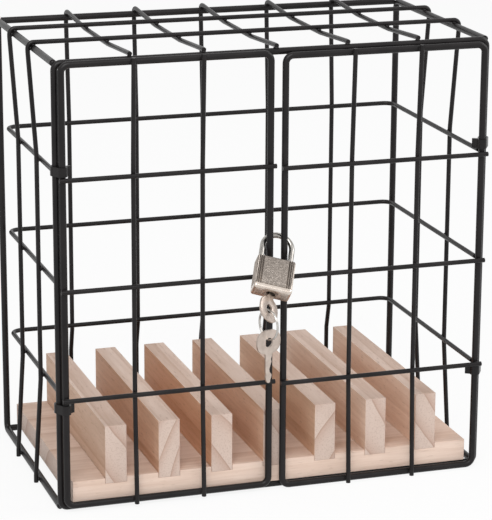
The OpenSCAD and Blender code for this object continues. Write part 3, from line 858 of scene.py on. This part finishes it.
# The shackle is hardened steel rod, polished and chromed, and passes behind both inner
# uprights. The plug is turned and plated like the cap, and a dark patch round the key is
# painted on its face as painted shade in the keyway.
shackle_chrome = metal("shackle_chrome", (0.46, 0.44, 0.41), (0.30, 0.28, 0.26), 0.10, 0.22, 0.15)
dress("padlock_shackle", shackle_chrome)
KEY_TURN = math.radians(42)
KEYWAY_LONG, KEYWAY_WIDE = 2.9, 2.1
plug_plate = Finish("plug_nickel", Metallic=1.0)
plug_x, plug_y, _ = lock_axes(plug_plate)
along_blade = (plug_x * math.cos(KEY_TURN) + plug_y * math.sin(KEY_TURN)) / KEYWAY_LONG
across_blade = (plug_y * math.cos(KEY_TURN) - plug_x * math.sin(KEY_TURN)) / KEYWAY_WIDE
# The dark patch round the blade is painted shade where the keyway falls away.
keyway_shade = plug_plate.span(along_blade * along_blade + across_blade * across_blade, 1.15, 0.85)
plug_cloud = plug_plate.noise(plug_plate.place(), 300.0, 3.0)
plug_tone = plug_plate.mix(plug_plate.span(plug_cloud, 0.35, 0.75),
                           (0.52, 0.455, 0.40), (0.36, 0.31, 0.265))
dress("padlock_plug", plug_plate.wear(
    Base_Color=plug_plate.mix(keyway_shade, plug_tone, (0.03, 0.024, 0.018)),
    Roughness=plug_plate.span(plug_cloud, 0.3, 0.7, 0.22, 0.36)))

# Both keys are stamped from nickel-plated sheet, with an oval bow, a round hole and cuts down
# one edge of the blade. The first one is in the plug.
KEY_T = 1.2
KEY_EASE = 0.00014
BOW_W, BOW_H = 15.0, 13.0
BOW_POWER = 2 / 2.5
BOW_FROM, BOW_SWEEP, BOW_STEPS = 108, 324, 56
HOLE_DROP = 6.2
HOLE_R = 2.5
HOLE_STEPS = 28
BLADE_W = 4.2
BLADE_LEN = 16.0
SHOULDER = 0.4
BOW_GAP = 2.8
HOLE_DOWN = ARC_RISE + LOCK_H + CAP_H + BOW_GAP + HOLE_DROP
# Each row: the share of the blade's length, and how far the edge is cut back there.
PLAIN_EDGE = [(0.62, 0.0), (0.70, 0.5), (0.78, 0.1), (0.88, 0.3), (0.98, 1.1)]
CUTS = [(0.08, 0.0), (0.18, 0.7), (0.28, 0.35), (0.38, 1.0), (0.52, 1.75), (0.62, 1.55), (0.72, 0.2),
        (0.80, 0.35), (0.90, 1.1), (0.97, 1.2)]
key_nickel = metal("key_nickel", (0.62, 0.53, 0.47), (0.46, 0.385, 0.335), 0.26, 0.40, 0.2)


def key_shape(place):
    """A sheet with the blade up the Z axis and the hole at the origin, set at a place."""
    def build(shape):
        bow = []
        middle = HOLE_DROP - BOW_H / 2
        for step in range(BOW_STEPS + 1):
            angle = math.radians(BOW_FROM + BOW_SWEEP * step / BOW_STEPS)
            c, s = math.cos(angle), math.sin(angle)
            bow.append((BOW_W / 2 * math.copysign(abs(c) ** BOW_POWER, c),
                        middle + BOW_H / 2 * math.copysign(abs(s) ** BOW_POWER, s)))
        half = BLADE_W / 2
        blade = [(half, HOLE_DROP + SHOULDER)]
        blade += [(half - back, HOLE_DROP + BLADE_LEN * share) for share, back in PLAIN_EDGE]
        blade.append((0, HOLE_DROP + BLADE_LEN))
        blade += [(back - half, HOLE_DROP + BLADE_LEN * share) for share, back in reversed(CUTS)]
        blade.append((-half, HOLE_DROP + SHOULDER))
        edge = [(x, z) for x, z in bow if not (abs(x) < half and z > 0)] + blade
        rim = [shape.verts.new((x / 1000, -KEY_T / 2000, z / 1000)) for x, z in edge]
        turns = [2 * math.pi * step / HOLE_STEPS for step in range(HOLE_STEPS)]
        hole = [shape.verts.new((HOLE_R / 1000 * math.cos(turn), -KEY_T / 2000,
                                 HOLE_R / 1000 * math.sin(turn))) for turn in turns]
        edges = [shape.edges.new((ring[k], ring[(k + 1) % len(ring)])) for ring in (rim, hole)
                 for k in range(len(ring))]
        bmesh.ops.triangle_fill(shape, edges=edges, use_beauty=True)
        far = bmesh.ops.extrude_face_region(shape, geom=list(shape.faces))
        moved = [item for item in far["geom"] if isinstance(item, bmesh.types.BMVert)]
        bmesh.ops.translate(shape, verts=moved, vec=(0, KEY_T / 1000, 0))
        bmesh.ops.transform(shape, verts=shape.verts, matrix=place)
    return build


first_place = (lock_place @ Matrix.Translation((0, 0, -HOLE_DOWN / 1000))
               @ Matrix.Rotation(KEY_TURN, 4, "Z"))
first_key = solid("first_key", key_shape(first_place), key_nickel, KEY_EASE)
shade(first_key, 30)
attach(first_key, "inserted_key")
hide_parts("key_1")

# The split ring is spring wire wound nearly twice round, side by side. It hangs in the first
# key's hole and carries the second key.
RING_R = 8.0
RING_WIRE = 0.45
STRAND = RING_WIRE * 0.9
RING_TURNS = 1.9
RING_STEPS, RING_SIDES = 60, 10
RING_DROP = 0.5
HEADING = math.radians(18)
first_hole = first_place.translation
ring_place = Matrix.Translation(first_hole) @ Matrix.Rotation(HEADING, 4, "Z")
split_ring = new_tree("split_ring", [
    ("Ring radius", "Float"), ("Wire radius", "Float"), ("Strand offset", "Float"), ("Turns", "Float"),
    ("Steps", "Int"), ("Sides", "Int"), ("Plating", "Material")])
given = split_ring.nodes.new("NodeGroupInput").outputs
pitch = split_ring.nodes.new("ShaderNodeMath")
pitch.operation = "MULTIPLY"
split_ring.links.new(given["Strand offset"], pitch.inputs[0])
pitch.inputs[1].default_value = 2.0
coil = tree_node(split_ring, "CurveSpiral", {}, {
    "Resolution": given["Steps"], "Rotations": given["Turns"], "Start Radius": given["Ring radius"],
    "End Radius": given["Ring radius"], "Height": pitch.outputs[0]})
section = tree_node(split_ring, "CurvePrimitiveCircle", {}, {
    "Resolution": given["Sides"], "Radius": given["Wire radius"]})
wound = tree_node(split_ring, "CurveToMesh", {}, {
    "Curve": coil.outputs[0], "Profile Curve": section.outputs[0], "Fill Caps": True})
close_tree(split_ring, wound.outputs[0], given["Plating"])
ring_steel = metal("ring_steel", (0.62, 0.60, 0.57), (0.36, 0.345, 0.33), 0.12, 0.24, 0.1)
ring_line = bpy.data.meshes.new("ring_line")
ring_line.from_pydata([(0, 0, 0)], [], [])
ring = grow("split_ring_coil", ring_line, split_ring, {
    "Ring radius": RING_R / 1000, "Wire radius": RING_WIRE / 1000, "Strand offset": STRAND / 1000,
    "Turns": RING_TURNS, "Steps": RING_STEPS, "Sides": RING_SIDES, "Plating": ring_steel})
ring.data.transform(ring_place @ Matrix.Translation((0, 0, -(RING_DROP + RING_R) / 1000))
                    @ Matrix.Rotation(math.radians(90), 4, "Y")
                    @ Matrix.Translation((0, 0, -STRAND / 1000)))
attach(ring, "split_ring")
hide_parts("key_ring")

# The spare key is stamped from the same nickel-plated sheet. It hangs by its bow from the
# bottom of the ring, with its blade down.
HANG_PLAY = 0.4
SPARE_DROP = HOLE_R - RING_WIRE - HANG_PLAY
spare_place = (ring_place @ Matrix.Translation((0, 0, -(RING_DROP + 2 * RING_R + SPARE_DROP) / 1000))
               @ Matrix.Rotation(math.pi, 4, "Y"))
spare = solid("spare_key_sheet", key_shape(spare_place), key_nickel, KEY_EASE)
shade(spare, 30)
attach(spare, "spare_key")
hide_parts("key_2")
